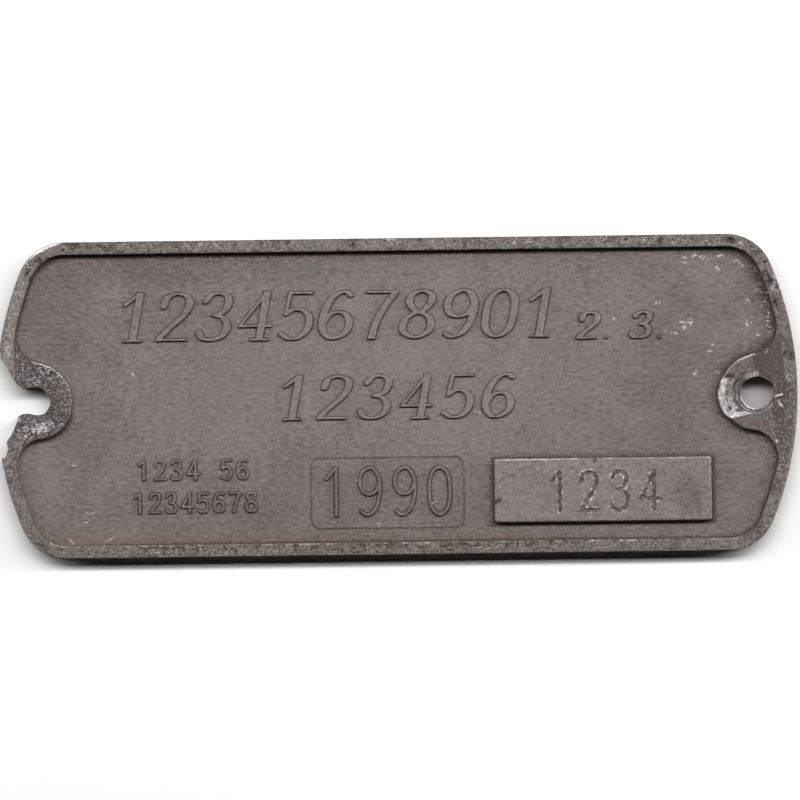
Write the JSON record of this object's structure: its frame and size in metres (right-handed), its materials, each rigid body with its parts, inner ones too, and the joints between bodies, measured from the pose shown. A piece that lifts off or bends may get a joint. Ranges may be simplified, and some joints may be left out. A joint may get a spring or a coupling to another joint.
{
  "type": "wagon plate",
  "caption": "Cast aluminium plate with bowed ends, a raised rim round a sunken field, a raised pad, and a fixing lug at each end, the left one torn open.",
  "frame": {"origin": "middle of the flat back face, halfway between the tips of the two bowed ends and between the straight edges", "axes": "+X along the plate towards the whole lug, +Y towards the straight edge above the field, +Z out of the back towards the face"},
  "size_m": [0.1994, 0.079, 0.005],
  "materials": {
    "cast_field": "matte",
    "worn_rim": "matte",
    "torn_lug": "matte",
    "scraped_lug": "matte",
    "pad_face": "matte"
  },
  "bodies": {
    "root": {"panel": "cast_field", "rim": "worn_rim", "left_lug": "torn_lug", "right_lug": "scraped_lug", "number_pad": "pad_face"}
  },
  "joints": []
}
